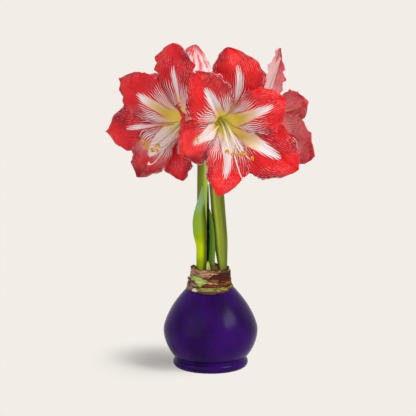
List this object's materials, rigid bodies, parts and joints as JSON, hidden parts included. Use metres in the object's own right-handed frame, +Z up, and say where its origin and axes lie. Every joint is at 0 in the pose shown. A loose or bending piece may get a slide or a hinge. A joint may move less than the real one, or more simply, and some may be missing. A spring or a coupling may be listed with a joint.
{
  "type": "waxed amaryllis",
  "caption": "Waxed amaryllis bulb on its own wax foot, with striped trumpet flowers on bare stalks, a bud and short leaves; a table decoration that needs no water.",
  "frame": {"origin": "middle of the flat underside of the wax foot, on the surface that the plant stands on", "axes": "+Z up along the plant, -Y to the front, the side that the open flowers face, +X to the right seen from the front"},
  "size_m": [0.2413, 0.2438, 0.3771],
  "materials": {
    "wax": "gloss",
    "bulb_tissue": "satin",
    "dry_skin": "matte",
    "stalk": "satin",
    "bud": "satin",
    "leaf": "satin",
    "bract": "matte",
    "petal": "satin",
    "stamen": "satin"
  },
  "bodies": {
    "root": {"wax_coat": "wax", "bulb": "bulb_tissue", "neck_scale_low": "bulb_tissue", "neck_scale_left": "dry_skin", "neck_scale_right": "dry_skin", "neck_scale_dry": "dry_skin", "neck_scale_inner": "dry_skin", "scape_left": "stalk", "scape_right": "stalk", "bud_stalk": "bud", "bud": "bud", "leaf_front": "leaf", "leaf_back": "leaf", "leaf_young": "leaf", "bract_left_1": "bract", "bract_left_2": "bract", "bract_right_1": "bract", "bract_right_2": "bract", "flower_a_receptacle": "stalk", "flower_a_petal_1": "petal", "flower_a_petal_2": "petal", "flower_a_petal_3": "petal", "flower_a_sepal_1": "petal", "flower_a_sepal_2": "petal", "flower_a_sepal_3": "petal", "flower_a_stamens": "stamen", "flower_a_style": "stamen", "flower_b_receptacle": "stalk", "flower_b_petal_1": "petal", "flower_b_petal_2": "petal", "flower_b_petal_3": "petal", "flower_b_sepal_1": "petal", "flower_b_sepal_2": "petal", "flower_b_sepal_3": "petal", "flower_b_stamens": "stamen", "flower_b_style": "stamen", "flower_c_receptacle": "stalk", "flower_c_petal_1": "petal", "flower_c_petal_2": "petal", "flower_c_petal_3": "petal", "flower_c_sepal_1": "petal", "flower_c_sepal_2": "petal", "flower_c_sepal_3": "petal", "flower_c_stamens": "stamen", "flower_c_style": "stamen", "flower_d_receptacle": "stalk", "flower_d_petal_1": "petal", "flower_d_petal_2": "petal", "flower_d_petal_3": "petal", "flower_d_sepal_1": "petal", "flower_d_sepal_2": "petal", "flower_d_sepal_3": "petal", "flower_d_stamens": "stamen", "flower_d_style": "stamen"}
  },
  "joints": []
}
